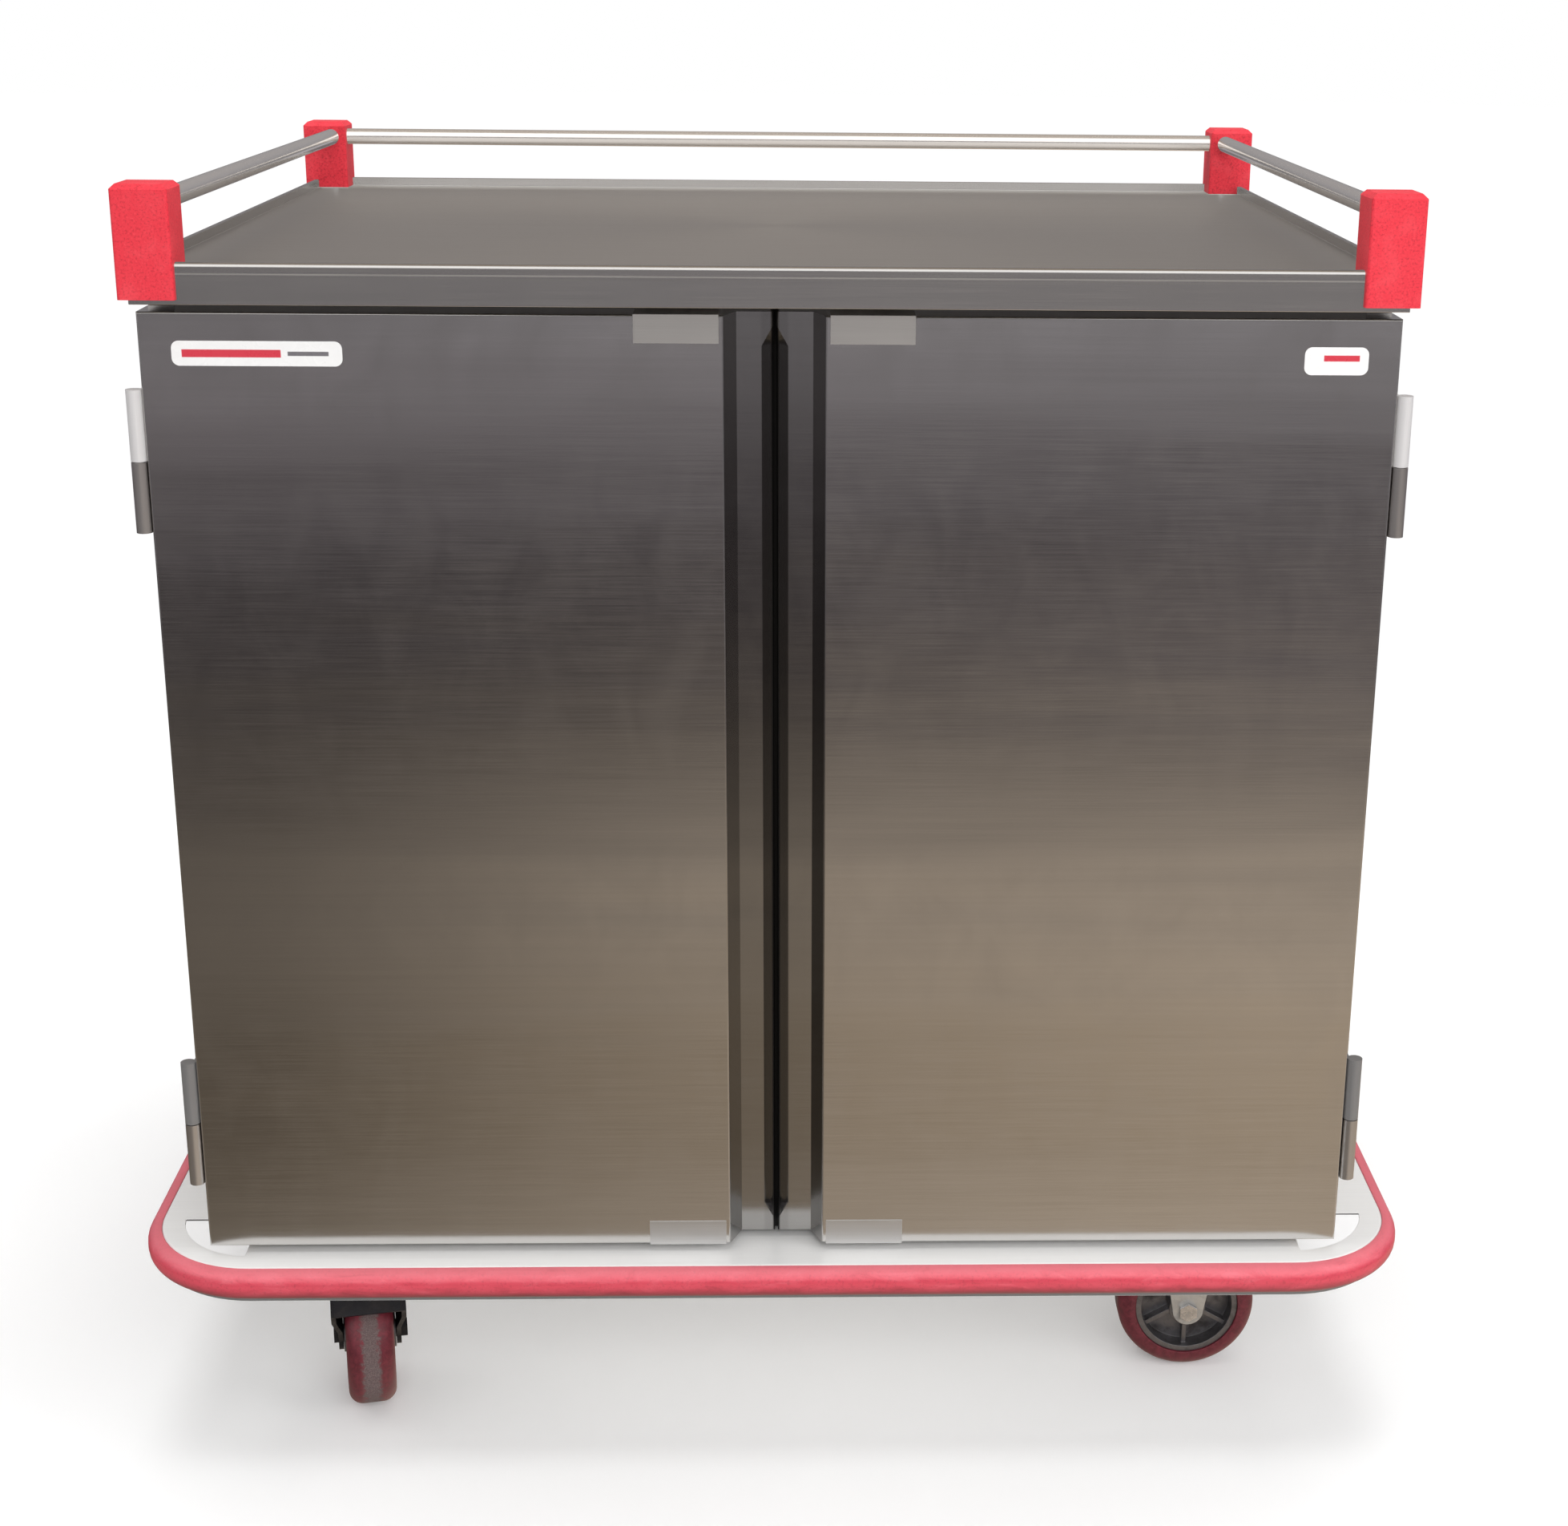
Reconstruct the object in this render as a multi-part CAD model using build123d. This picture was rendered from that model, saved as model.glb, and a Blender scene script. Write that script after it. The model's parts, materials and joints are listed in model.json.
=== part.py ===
from build123d import *
import os
from math import cos, radians, sin

# A two-door stainless hospitality cart on four casters, with a red bumper round its deck.
# Millimetres. X runs across the doors, Y from front to back, Z up. The origin is on the
# floor under the middle of the bumper's outline.

# ---- Cabinet -----------------------------------------------------------------------
cabinet_width = 1168.0
cabinet_depth = 861.0
sheet = 1.2
panel_flange = 24.0
back_flange = 20.0
front_rail_depth = 28.0
sill_height = 34.0
header_drop = 34.0
mullion_width = 44.0
mullion_depth = 20.0
divider_sheet = 2.4
fit_gap = 0.2

# ---- Doors -------------------------------------------------------------------------
door_height = 958.0
door_thickness = 45.0
door_standoff = 3.0
door_edge_gap = 0.5
door_gap = 3.0
door_edge_radius = 2.0
liner_sheet = 1.0
recess_depth = 28.0
recess_half_width = 47.5
recess_floor_half_width = 36.0
groove_half_width = 12.5
groove_taper = 23.0
groove_end_margin = 9.0
stiffener_width = 80.0
strike_width = 79.0
strike_height = 26.0
strike_sheet = 0.8
strike_side_margin = 4.0
magnet_height = 24.0
magnet_width = 60.0
magnet_gap = 0.4
magnet_overlap = 20.0

# ---- Badges ------------------------------------------------------------------------
left_badge_width = 156.0
left_badge_height = 23.0
right_badge_width = 60.0
right_badge_height = 26.0
badge_radius = 7.0
badge_thickness = 0.4
badge_edge_margin = 30.0
badge_top_margin = 26.0

# ---- Hinges ------------------------------------------------------------------------
knuckle_radius = 7.5
knuckle_height = 67.0
knuckle_gap = 1.0
hinge_axis_depth = 3.0
leaf_thickness = 2.5
cabinet_leaf_reach = 45.0
door_leaf_margin = 1.5
pin_radius = 4.5
pin_clearance = 0.06
pin_end_margin = 4.0
hinge_inset = 139.0
hinge_screw_radius = 3.0
hinge_screw_head_radius = 5.5
hinge_screw_length = 10.0

# ---- Tray racks --------------------------------------------------------------------
rack_depth = 30.0
rack_sheet = 1.5
upright_width = 30.0
ledge_width = 30.0
ledge_thickness = 2.5
ledge_length = 800.0
ledge_pitch = 120.0
first_ledge_height = 78.0
upright_count = 3
rack_front_gap = 8.0

# ---- Worktop, blocks and gallery rails ---------------------------------------------
apron_gap = 8.0
apron_depth = 38.0
worktop_sheet = 1.5
worktop_side_overhang = 2.0
worktop_end_overhang = 12.0
rim_width = 8.0
worktop_edge_radius = 4.0
rim_height = 10.0
body_to_worktop_gap = 2.5
block_size = 52.0
block_overhang = 8.0
block_rise = 70.0
block_drop = 33.0
block_chamfer = 5.0
block_edge_radius = 3.0
block_pad_height = 0.8
block_pad_margin = 1.0
rail_diameter = 19.0
rail_wall = 1.5
rail_drop = 18.0
rail_inset = 34.0
rail_seat = 8.0
block_screw_radius = 4.0
block_screw_grip = 30.0
block_screw_head_radius = 7.0
block_screw_head_height = 5.0

# ---- Deck and bumper ---------------------------------------------------------------
caster_height = 190.0
deck_depth = 38.0
deck_sheet = 2.5
deck_side_margin = 66.0
deck_end_margin = 32.0
deck_corner_radius = 113.0
deck_edge_radius = 2.5
deck_rim_width = 24.0
corner_hole_reach = 103.0
corner_hole_body_margin = 8.0
door_deck_gap = 8.0
bumper_height = 32.0
bumper_protrusion = 15.0
bumper_edge_radius = 14.0
track_height = 18.0
track_thickness = 3.5
track_gap = 0.3
channel_width = 150.0
channel_sheet = 3.0
channel_end_margin = 16.0

# ---- Casters -----------------------------------------------------------------------
swivel_x = 452.0
rigid_x = 457.0
swivel_end_inset = 138.0
rigid_end_inset = 160.0
wheel_diameter = 152.4
tread_width = 50.8
tread_edge_radius = 15.0
rim_outer_radius = 57.0
rim_inner_radius = 50.5
rim_face_width = 46.0
web_thickness = 8.0
spoke_count = 6
spoke_thickness = 5.0
spoke_depth = 30.0
hub_radius = 20.0
hub_width = 55.6
bush_radius = 13.0
sleeve_radius = 9.5
spin_clearance = 0.05
axle_radius = 6.35
axle_head_radius = 11.0
axle_head_height = 5.0
axle_nut_height = 7.0
hub_gap = 0.5
fork_sheet = 5.0
fork_flare = 6.0
fork_flare_low = 94.0
fork_flare_high = 118.0
fork_end_radius = 17.0
rigid_fork_half_length = 36.0
swivel_fork_front = 40.0
swivel_fork_back = 45.0
swivel_trail = 40.0
guard_gap = 5.0
guard_sheet = 3.5
guard_angle = 42.0
plate_width = 102.0
plate_length = 114.0
plate_thickness = 6.0
plate_bolt_x = 33.5
plate_bolt_y = 46.0
plate_bolt_radius = 4.8
plate_bolt_head_radius = 8.5
plate_bolt_head_height = 6.0
race_radius = 42.0
race_height = 7.0
race_gap = 0.4
crown_thickness = 6.0
kingpin_radius = 8.0
kingpin_clearance = 0.06
kingpin_nut_radius = 13.0
kingpin_nut_height = 9.0
front_left_rest_turn = 11.0
rear_left_rest_turn = 16.0

# ---- Levels and planes that follow from the sizes above -----------------------------
total_depth = cabinet_depth + door_standoff + door_thickness
door_face_y = -total_depth / 2
cabinet_back_y = total_depth / 2
cabinet_front_y = door_face_y + door_thickness + door_standoff
side_x = cabinet_width / 2
deck_top = caster_height + deck_depth
deck_underside = deck_top - deck_sheet
door_bottom = deck_top + door_deck_gap
door_top = door_bottom + door_height
apron_bottom = door_top + apron_gap
rim_top = apron_bottom + apron_depth
worktop_surface = rim_top - rim_height
worktop_underside = worktop_surface - worktop_sheet
body_top = worktop_underside - body_to_worktop_gap
floor_top = deck_top + sill_height
ceiling_bottom = door_top - header_drop
ledge_count = 1 + int((ceiling_bottom - floor_top - first_ledge_height) / ledge_pitch)
front_rail_face_y = cabinet_front_y + sheet
front_rail_back_y = front_rail_face_y + front_rail_depth
deck_half_width = side_x + deck_side_margin
deck_half_depth = total_depth / 2 + deck_end_margin
worktop_half_width = side_x + worktop_side_overhang
worktop_half_depth = total_depth / 2 + worktop_end_overhang
block_outer_x = worktop_half_width + block_overhang
block_outer_y = worktop_half_depth + block_overhang
block_top = rim_top + block_rise
block_bottom = rim_top - block_drop
rail_level = block_top - rail_drop
rail_x = block_outer_x - rail_inset
rail_y = block_outer_y - rail_inset
hinge_x = side_x + knuckle_radius
hinge_y = door_face_y + hinge_axis_depth
door_edge_x = side_x - door_edge_gap
wheel_radius = wheel_diameter / 2
swivel_y = total_depth / 2 - swivel_end_inset
rigid_y = total_depth / 2 - rigid_end_inset
guard_radius = wheel_radius + guard_gap + guard_sheet
fork_inner_x = hub_width / 2 + hub_gap
plate_bottom = caster_height - plate_thickness
race_bottom = plate_bottom - race_height
crown_top = race_bottom - race_gap
crown_bottom = crown_top - crown_thickness


def box_between(low, high):
    """The box between two opposite corners."""
    size = [b - a for a, b in zip(low, high)]
    centre = [(a + b) / 2 for a, b in zip(low, high)]
    return Pos(*centre) * Box(*size)


def to_left(shape):
    """The mirror image of a right-hand piece."""
    return mirror(shape, about=Plane.YZ)


def rounded_slab(half_width, half_depth, radius, low_z, high_z):
    """An upright slab with rounded corners about the origin."""
    outline = RectangleRounded(2 * half_width, 2 * half_depth, radius)
    return Pos(0, 0, low_z) * extrude(outline, amount=high_z - low_z)


def upright_cylinder(x, y, low_z, high_z, radius):
    """A cylinder along Z."""
    return Pos(x, y, (low_z + high_z) / 2) * Cylinder(radius, high_z - low_z)


def hex_prism(x, y, low_z, high_z, radius):
    """A hexagonal nut or bolt head along Z."""
    return Pos(x, y, low_z) * extrude(RegularPolygon(radius, 6), amount=high_z - low_z)


def save(name, *shapes):
    """Write one node, of one solid or of several separate ones."""
    solids = [solid for shape in shapes for solid in shape.solids()]
    export_step(Compound(children=solids), f"parts/{name}.step")


# ---- Deck ----------------------------------------------------------------------------

def corner_hole():
    """The quarter-round opening in the deck beside the front right corner of the cabinet."""
    inside = rounded_slab(
        deck_half_width - deck_rim_width,
        deck_half_depth - deck_rim_width,
        deck_corner_radius - deck_rim_width,
        deck_underside - 1,
        deck_top + 1,
    )
    corner = box_between(
        (deck_half_width - corner_hole_reach, -deck_half_depth, deck_underside - 1),
        (deck_half_width, -deck_half_depth + corner_hole_reach, deck_top + 1),
    )
    footprint = box_between(
        (0, cabinet_front_y - corner_hole_body_margin, deck_underside - 1),
        (side_x + corner_hole_body_margin, 0, deck_top + 1),
    )
    return (inside & corner) - footprint


def deck_pan():
    """A folded pan with its edge turned down, open at its four corners."""
    pan = rounded_slab(
        deck_half_width, deck_half_depth, deck_corner_radius, caster_height, deck_top
    )
    pan = fillet(pan.edges().group_by(Axis.Z)[-1], deck_edge_radius)
    pan -= rounded_slab(
        deck_half_width - deck_sheet,
        deck_half_depth - deck_sheet,
        deck_corner_radius - deck_sheet,
        caster_height - 1,
        deck_underside,
    )
    hole = corner_hole()
    back_hole = mirror(hole, about=Plane.XZ)
    for cut in (hole, back_hole, to_left(hole), to_left(back_hole)):
        pan -= cut
    return pan


def caster_channel(x, caster_y):
    """A channel under the deck, from front to back, that carries two casters."""
    half_length = deck_half_depth - channel_end_margin
    channel = box_between(
        (x - channel_width / 2, -half_length, caster_height),
        (x + channel_width / 2, half_length, deck_underside),
    )
    channel -= box_between(
        (x - channel_width / 2 + channel_sheet, -half_length - 1, caster_height + channel_sheet),
        (x + channel_width / 2 - channel_sheet, half_length + 1, deck_underside + 1),
    )
    for y in (-caster_y, caster_y):
        for bolt_x, bolt_y in plate_bolt_places(x, y, x > 0):
            channel -= upright_cylinder(
                bolt_x, bolt_y, caster_height - 1, caster_height + channel_sheet + 1, plate_bolt_radius
            )
    return channel


def bumper_track():
    """The extrusion round the deck's edge that the bumper snaps on to."""
    middle = deck_top - bumper_height / 2
    low, high = middle - track_height / 2, middle + track_height / 2
    track = rounded_slab(
        deck_half_width + track_thickness,
        deck_half_depth + track_thickness,
        deck_corner_radius + track_thickness,
        low,
        high,
    )
    return track - rounded_slab(deck_half_width, deck_half_depth, deck_corner_radius, low - 1, high + 1)


def bumper_strip():
    """The round-faced bumper, grooved at its back for the track."""
    strip = rounded_slab(
        deck_half_width + bumper_protrusion,
        deck_half_depth + bumper_protrusion,
        deck_corner_radius + bumper_protrusion,
        deck_top - bumper_height,
        deck_top,
    )
    rims = strip.edges().group_by(Axis.Z)
    strip = fillet(rims[0] + rims[-1], bumper_edge_radius)
    strip -= rounded_slab(
        deck_half_width, deck_half_depth, deck_corner_radius, deck_top - bumper_height - 1, deck_top + 1
    )
    groove = track_thickness + track_gap
    middle = deck_top - bumper_height / 2
    half_groove = track_height / 2 + track_gap
    strip -= rounded_slab(
        deck_half_width + groove,
        deck_half_depth + groove,
        deck_corner_radius + groove,
        middle - half_groove,
        middle + half_groove,
    )
    return strip


# ---- Cabinet ---------------------------------------------------------------------------

def side_panel():
    """The right side sheet, with its front edge turned in."""
    panel = box_between(
        (side_x - sheet, cabinet_front_y, deck_top), (side_x, cabinet_back_y, body_top)
    )
    panel += box_between(
        (side_x - panel_flange, cabinet_front_y, deck_top),
        (side_x, cabinet_front_y + sheet, body_top),
    )
    for screw in right_hinge_screws():
        panel -= screw
    return panel


def back_panel():
    """The back sheet, between the sides, with both side edges turned forward."""
    half_width = side_x - sheet
    panel = box_between(
        (-half_width, cabinet_back_y - sheet, deck_top), (half_width, cabinet_back_y, body_top)
    )
    for inner, outer in ((half_width - sheet, half_width), (-half_width, sheet - half_width)):
        panel += box_between(
            (inner, cabinet_back_y - back_flange, deck_top), (outer, cabinet_back_y, body_top)
        )
    return panel


def inner_pan(plate_z, flange_z):
    """A floor or ceiling pan whose edges are turned towards flange_z."""
    half_width = side_x - 2 * sheet - fit_gap
    front, back = front_rail_back_y, cabinet_back_y - sheet
    low, high = min(plate_z, flange_z), max(plate_z, flange_z)
    pan = box_between((-half_width, front, low), (half_width, back, high))
    if flange_z < plate_z:
        low, high = low - 1, plate_z - sheet
    else:
        low, high = plate_z + sheet, high + 1
    pan -= box_between(
        (sheet - half_width, front + sheet, low), (half_width - sheet, back - sheet, high)
    )
    return pan


def front_rail(low_z, high_z):
    """A closed box rail across the cabinet's front."""
    half_width = side_x - sheet
    rail = box_between(
        (-half_width, front_rail_face_y, low_z), (half_width, front_rail_back_y, high_z)
    )
    return rail - box_between(
        (-half_width - 1, front_rail_face_y + sheet, low_z + sheet),
        (half_width + 1, front_rail_back_y - sheet, high_z - sheet),
    )


def centre_divider():
    """The wall between the compartments, with a channel-shaped post at its front."""
    post_back = front_rail_face_y + mullion_depth
    half_post = mullion_width / 2
    post = box_between(
        (-half_post, front_rail_face_y, floor_top), (half_post, post_back, ceiling_bottom)
    )
    post -= box_between(
        (rack_sheet - half_post, front_rail_face_y + rack_sheet, floor_top - 1),
        (half_post - rack_sheet, post_back + 1, ceiling_bottom + 1),
    )
    wall = box_between(
        (-divider_sheet / 2, front_rail_face_y + rack_sheet, floor_top),
        (divider_sheet / 2, cabinet_back_y - sheet, ceiling_bottom),
    )
    return post + wall


def tray_rack(wall_x, inward):
    """Separate uprights and ledges along one wall; inward is +1 or -1 along X."""
    def span(start, length):
        ends = (wall_x + inward * start, wall_x + inward * (start + length))
        return min(ends), max(ends)

    front = front_rail_back_y + rack_front_gap
    pieces = []
    low_x, high_x = span(0, rack_depth)
    hollow_low, hollow_high = span(-1, rack_depth - rack_sheet + 1)
    for index in range(upright_count):
        y = front + index * (ledge_length - upright_width) / (upright_count - 1)
        upright = box_between((low_x, y, floor_top), (high_x, y + upright_width, ceiling_bottom))
        upright -= box_between(
            (hollow_low, y + rack_sheet, floor_top - 1),
            (hollow_high, y + upright_width - rack_sheet, ceiling_bottom + 1),
        )
        pieces.append(upright)
    low_x, high_x = span(rack_depth, ledge_width)
    for index in range(ledge_count):
        z = floor_top + first_ledge_height + index * ledge_pitch
        pieces.append(
            box_between((low_x, front, z - ledge_thickness), (high_x, front + ledge_length, z))
        )
    return pieces


# ---- Worktop, blocks and rails -----------------------------------------------------------

def worktop_well():
    """The sunk part of the worktop, inside its raised rim, with a low pad under each block."""
    well = box_between(
        (rim_width - worktop_half_width, rim_width - worktop_half_depth, worktop_surface),
        (worktop_half_width - rim_width, worktop_half_depth - rim_width, rim_top + 1),
    )
    pad_x = block_outer_x - block_size - block_pad_margin
    pad_y = block_outer_y - block_size - block_pad_margin
    pad_top = worktop_surface + block_pad_height
    pad = box_between((pad_x, pad_y, worktop_surface), (worktop_half_width, worktop_half_depth, pad_top))
    front_pad = mirror(pad, about=Plane.XZ)
    return well - pad - front_pad - to_left(pad) - to_left(front_pad)


def worktop_envelope():
    """The worktop as a solid block, apron included."""
    slab = box_between(
        (-worktop_half_width, -worktop_half_depth, apron_bottom),
        (worktop_half_width, worktop_half_depth, rim_top),
    )
    return fillet(slab.edges().group_by(Axis.Z)[-1], worktop_edge_radius) - worktop_well()


def block_screw(x, y):
    """A screw that rises through the worktop into a corner block."""
    shank = upright_cylinder(
        x, y, worktop_underside, worktop_underside + block_screw_grip, block_screw_radius
    )
    head = upright_cylinder(
        x, y, worktop_underside - block_screw_head_height, worktop_underside, block_screw_head_radius
    )
    return shank + head


def worktop():
    """The folded top with an apron below and a raised rim round its edge."""
    top = worktop_envelope() - box_between(
        (worktop_sheet - worktop_half_width, worktop_sheet - worktop_half_depth, apron_bottom - 1),
        (worktop_half_width - worktop_sheet, worktop_half_depth - worktop_sheet, worktop_underside),
    )
    for x in (-rail_x, rail_x):
        for y in (-rail_y, rail_y):
            top -= block_screw(x, y)
    return top


def corner_block(x_sign, y_sign):
    """A moulded block that wraps one corner of the worktop and holds the rail ends."""
    centre_x = x_sign * (block_outer_x - block_size / 2)
    centre_y = y_sign * (block_outer_y - block_size / 2)
    middle_z = (block_top + block_bottom) / 2
    block = Pos(centre_x, centre_y, middle_z) * Box(block_size, block_size, block_top - block_bottom)
    block = chamfer(block.edges().group_by(Axis.Z)[-1], block_chamfer)
    block = fillet(block.edges().filter_by(Axis.Z), block_edge_radius)
    block -= worktop_envelope()
    block -= block_screw(x_sign * rail_x, y_sign * rail_y)
    inner_x = block_outer_x - block_size
    inner_y = block_outer_y - block_size
    block -= side_rail_bar(x_sign * rail_x, inner_y + rail_seat, rail_diameter / 2)
    if y_sign > 0:
        block -= cross_rail_bar(rail_y, inner_x + rail_seat, rail_diameter / 2)
    return block.solids().sort_by(SortBy.VOLUME)[-1]


def side_rail_bar(x, half_length, radius):
    """A bar along Y at the rails' level."""
    return Pos(x, 0, rail_level) * Rot(90, 0, 0) * Cylinder(radius, 2 * half_length)


def cross_rail_bar(y, half_length, radius):
    """A bar along X at the rails' level."""
    return Pos(0, y, rail_level) * Rot(0, 90, 0) * Cylinder(radius, 2 * half_length)


def side_rail(x):
    """A tube between the front and back blocks of one side."""
    half_length = block_outer_y - block_size + rail_seat
    bore = rail_diameter / 2 - rail_wall
    return side_rail_bar(x, half_length, rail_diameter / 2) - side_rail_bar(x, half_length + 1, bore)


def back_rail():
    """The tube between the two back blocks."""
    half_length = block_outer_x - block_size + rail_seat
    bore = rail_diameter / 2 - rail_wall
    return cross_rail_bar(rail_y, half_length, rail_diameter / 2) - cross_rail_bar(
        rail_y, half_length + 1, bore
    )


# ---- Doors (the right one; the left one is its mirror image) ------------------------------

def door_outline(depth):
    """The right door's plan with its centre recess but not its finger groove."""
    inner = door_gap / 2
    points = [
        (inner, door_face_y + depth),
        (inner, door_face_y + recess_depth),
        (recess_floor_half_width, door_face_y + recess_depth),
        (recess_half_width, door_face_y),
        (door_edge_x, door_face_y),
        (door_edge_x, door_face_y + depth),
    ]
    return make_face(Polyline(*points, close=True))


def groove_cutter(wall):
    """The bevel of the finger groove, which runs out to a point at each end."""
    inner = door_gap / 2 - 1
    floor_y = door_face_y + recess_depth - 1
    bevel = groove_half_width - door_gap / 2 + 2 + wall * 2 ** 0.5
    low_tip = door_bottom + groove_end_margin - wall
    high_tip = door_top - groove_end_margin + wall
    points = [(inner, floor_y, low_tip), (inner, floor_y, high_tip)]
    for z in (low_tip + groove_taper, high_tip - groove_taper):
        points.append((inner + bevel, floor_y, z))
        points.append((inner, floor_y + bevel, z))
    return ConvexPolyhedron(points)


def door_skin():
    """The outer pan: face, recess, edges, top and bottom in one sheet, open at the back."""
    depth = door_thickness - liner_sheet
    outside = Pos(0, 0, door_bottom) * extrude(door_outline(depth), amount=door_height)
    outside = fillet(outside.faces().sort_by(Axis.Y)[0].edges(), door_edge_radius)
    outside -= groove_cutter(0)
    shrunk = offset(door_outline(depth + sheet), amount=-sheet, kind=Kind.INTERSECTION)
    inside = Pos(0, 0, door_bottom + sheet) * extrude(shrunk, amount=door_height - 2 * sheet)
    inside -= groove_cutter(sheet)
    return outside - inside


def door_liner():
    """The flat sheet that closes the door's back."""
    back = door_face_y + door_thickness
    return box_between(
        (door_gap / 2 + fit_gap, back - liner_sheet, door_bottom + fit_gap),
        (door_edge_x - fit_gap, back, door_top - fit_gap),
    )


def door_stiffener():
    """A channel between the door's two sheets, up its middle."""
    middle = (recess_half_width + door_edge_x) / 2
    front, back = door_face_y + sheet, door_face_y + door_thickness - liner_sheet
    low, high = door_bottom + 2 * sheet, door_top - 2 * sheet
    channel = box_between(
        (middle - stiffener_width / 2, front, low), (middle + stiffener_width / 2, back, high)
    )
    return channel - box_between(
        (middle - stiffener_width / 2 + sheet, front + sheet, low - 1),
        (middle + stiffener_width / 2 - sheet, back + 1, high + 1),
    )


def strike_clip(edge_z, inward):
    """A steel clip folded over the door's top or bottom edge; inward is -1 or +1 along Z."""
    low_x = recess_half_width + strike_side_margin
    front, back = door_face_y, door_face_y + door_thickness
    ends = (edge_z - inward * strike_sheet, edge_z + inward * strike_height)
    clip = box_between(
        (low_x, front - strike_sheet, min(ends)), (low_x + strike_width, back + strike_sheet, max(ends))
    )
    ends = (edge_z, edge_z + inward * (strike_height + 1))
    return clip - box_between((low_x - 1, front, min(ends)), (low_x + strike_width + 1, back, max(ends)))


def magnet(edge_z, inward):
    """A magnetic catch on the cabinet that holds a strike clip."""
    clip_x = recess_half_width + strike_side_margin
    low_x = clip_x + (strike_width - magnet_width) / 2
    face_y = cabinet_front_y - door_standoff + strike_sheet + magnet_gap
    start = edge_z + inward * (magnet_overlap - magnet_height)
    ends = (start, edge_z + inward * magnet_overlap)
    return box_between((low_x, face_y, min(ends)), (low_x + magnet_width, front_rail_face_y, max(ends)))


def badge(low_x, width, height):
    """A thin rounded plate on the door's face, near its top."""
    top = door_top - badge_top_margin
    plate = extrude(RectangleRounded(width, height, badge_radius), amount=badge_thickness)
    centre = (low_x + width / 2, door_face_y, top - height / 2)
    return Pos(*centre) * Rot(90, 0, 0) * plate


# ---- Hinges (right-hand side) ------------------------------------------------------------

hinge_levels = [door_bottom + hinge_inset, door_top - hinge_inset]


def hinge_cylinder(low_z, high_z, radius):
    """A cylinder on the hinge axis."""
    return upright_cylinder(hinge_x, hinge_y, low_z, high_z, radius)


def door_leaf(level):
    """The door's leaf, welded to its edge, with the upper knuckle."""
    low, high = level + knuckle_gap / 2, level + knuckle_gap / 2 + knuckle_height
    back = door_face_y + door_thickness - door_leaf_margin
    leaf = box_between((door_edge_x, hinge_y, low), (side_x + leaf_thickness, back, high))
    leaf += hinge_cylinder(low, high, knuckle_radius)
    bore_top = high - pin_end_margin + fit_gap
    leaf -= hinge_cylinder(low - 1, bore_top, pin_radius + pin_clearance)
    return leaf


def cabinet_leaf(level):
    """The cabinet's leaf, screwed to its side, with the lower knuckle."""
    low, high = level - knuckle_gap / 2 - knuckle_height, level - knuckle_gap / 2
    back = cabinet_front_y + cabinet_leaf_reach
    leaf = box_between((side_x, hinge_y, low), (side_x + leaf_thickness, back, high))
    leaf += hinge_cylinder(low, high, knuckle_radius)
    leaf -= hinge_cylinder(low + pin_end_margin, high + 1, pin_radius)
    for screw in hinge_screws(level):
        leaf -= screw
    return leaf


def hinge_pin(level):
    """The pin, pressed into the lower knuckle, that the door lifts off."""
    low = level - knuckle_gap / 2 - knuckle_height + pin_end_margin
    high = level + knuckle_gap / 2 + knuckle_height - pin_end_margin
    return hinge_cylinder(low, high, pin_radius)


def hinge_screws(level):
    """Four countersunk screws that hold one cabinet leaf."""
    outer = side_x + leaf_thickness
    middle_z = level - (knuckle_gap + knuckle_height) / 2
    spread_z = knuckle_height / 2 - 2 * hinge_screw_head_radius
    middle_y = cabinet_front_y + cabinet_leaf_reach / 2
    spread_y = cabinet_leaf_reach / 2 - 2 * hinge_screw_head_radius
    cone_height = hinge_screw_head_radius - hinge_screw_radius
    screws = []
    for y in (middle_y - spread_y, middle_y + spread_y):
        for z in (middle_z - spread_z, middle_z + spread_z):
            shank = Pos(outer - hinge_screw_length / 2, y, z) * Rot(0, 90, 0) * Cylinder(
                hinge_screw_radius, hinge_screw_length
            )
            head = Pos(outer - cone_height / 2, y, z) * Rot(0, 90, 0) * Cone(
                hinge_screw_radius, hinge_screw_head_radius, cone_height
            )
            screws.append(shank + head)
    return screws


def right_hinge_screws():
    """The screws of both right-hand hinges."""
    return [screw for level in hinge_levels for screw in hinge_screws(level)]


# ---- Casters: local frame with the axle along X, then turned and moved into place -----------

def placed(shape, x, y, turn):
    """A caster piece turned about Z and moved to its place under the deck."""
    return Pos(x, y, 0) * Rot(0, 0, turn) * shape


def wheel_bar(radius, half_length, y):
    """A bar along the axle."""
    return Pos(0, y, wheel_radius) * Rot(0, 90, 0) * Cylinder(radius, 2 * half_length)


def tyre(y):
    """The polyurethane tread, moulded round the wheel's rim."""
    tread = wheel_bar(wheel_radius, tread_width / 2, y)
    tread = fillet(tread.edges(), tread_edge_radius)
    return tread - wheel_bar(rim_outer_radius, tread_width, y)


def wheel_core(y):
    """The wheel's rim, web, spokes and hub."""
    core = wheel_bar(rim_outer_radius, rim_face_width / 2, y)
    core -= wheel_bar(rim_inner_radius, rim_face_width, y)
    core += wheel_bar(rim_inner_radius + 1, web_thickness / 2, y)
    core += wheel_bar(hub_radius, hub_width / 2, y)
    spoke = Pos(0, 0, (hub_radius + rim_inner_radius) / 2) * Box(
        spoke_depth, spoke_thickness, rim_inner_radius - hub_radius + 4
    )
    for index in range(spoke_count):
        core += Pos(0, y, wheel_radius) * Rot(index * 360 / spoke_count, 0, 0) * spoke
    return core - wheel_bar(bush_radius, hub_width, y)


def wheel_bush(y):
    """The bearing bush, pressed into the hub and running on the axle's sleeve."""
    bush = wheel_bar(bush_radius, hub_width / 2, y)
    return bush - wheel_bar(sleeve_radius + spin_clearance, hub_width, y)


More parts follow.
